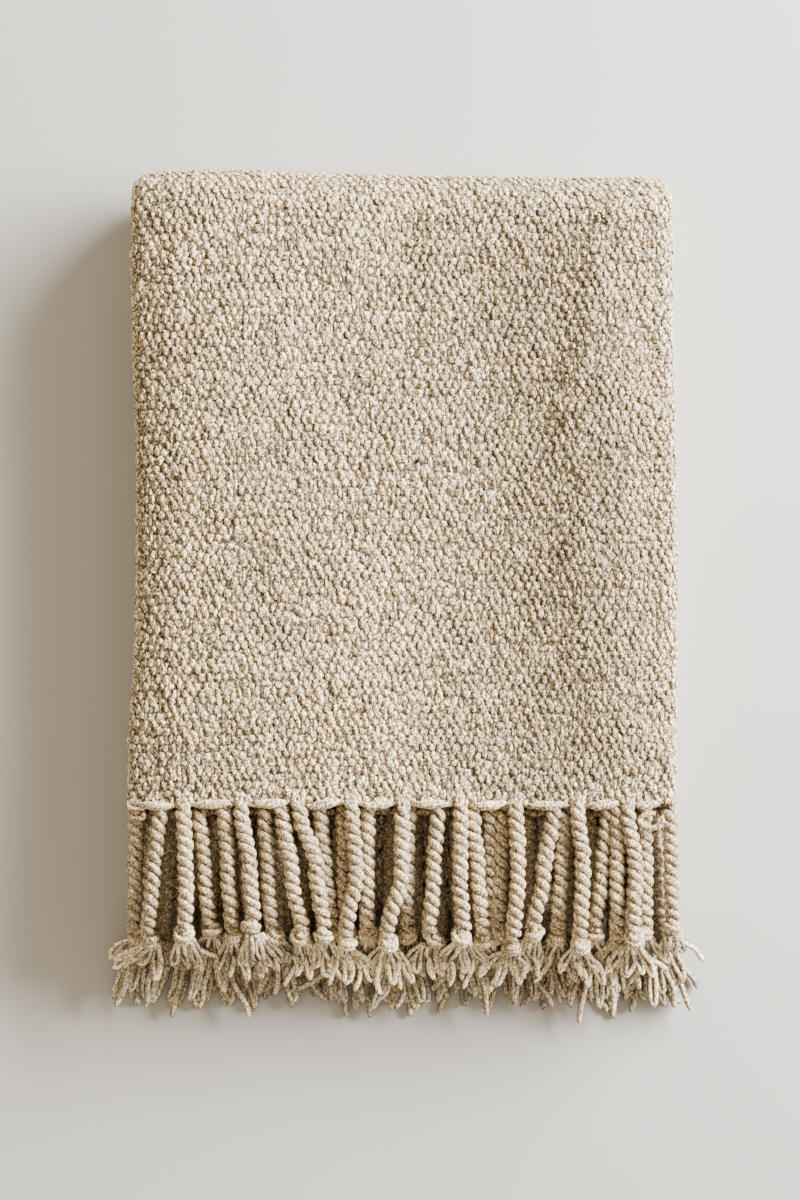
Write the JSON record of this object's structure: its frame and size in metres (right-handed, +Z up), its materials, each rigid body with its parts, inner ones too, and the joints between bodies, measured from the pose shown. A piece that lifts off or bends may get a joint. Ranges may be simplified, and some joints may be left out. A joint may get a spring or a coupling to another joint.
{
  "type": "folded throw blanket",
  "caption": "Woven chenille throw folded to a neat rectangle, its knotted rope fringe lying over the front fold.",
  "frame": {"origin": "on the surface that the folded throw rests on, under the middle of the stack", "axes": "+Z up, +Y towards the folded back edge, -Y towards the fringe, +X to the folded right side"},
  "size_m": [0.3313, 0.5051, 0.0644],
  "materials": {
    "chenille_cloth": "soft beige chenille pile with a slight sheen",
    "chenille_rope": "twisted beige chenille yarn, a little darker in the grooves"
  },
  "bodies": {
    "root": {"cloth": "chenille_cloth", "fringe_top": "chenille_rope", "fringe_under": "chenille_rope"}
  },
  "joints": []
}
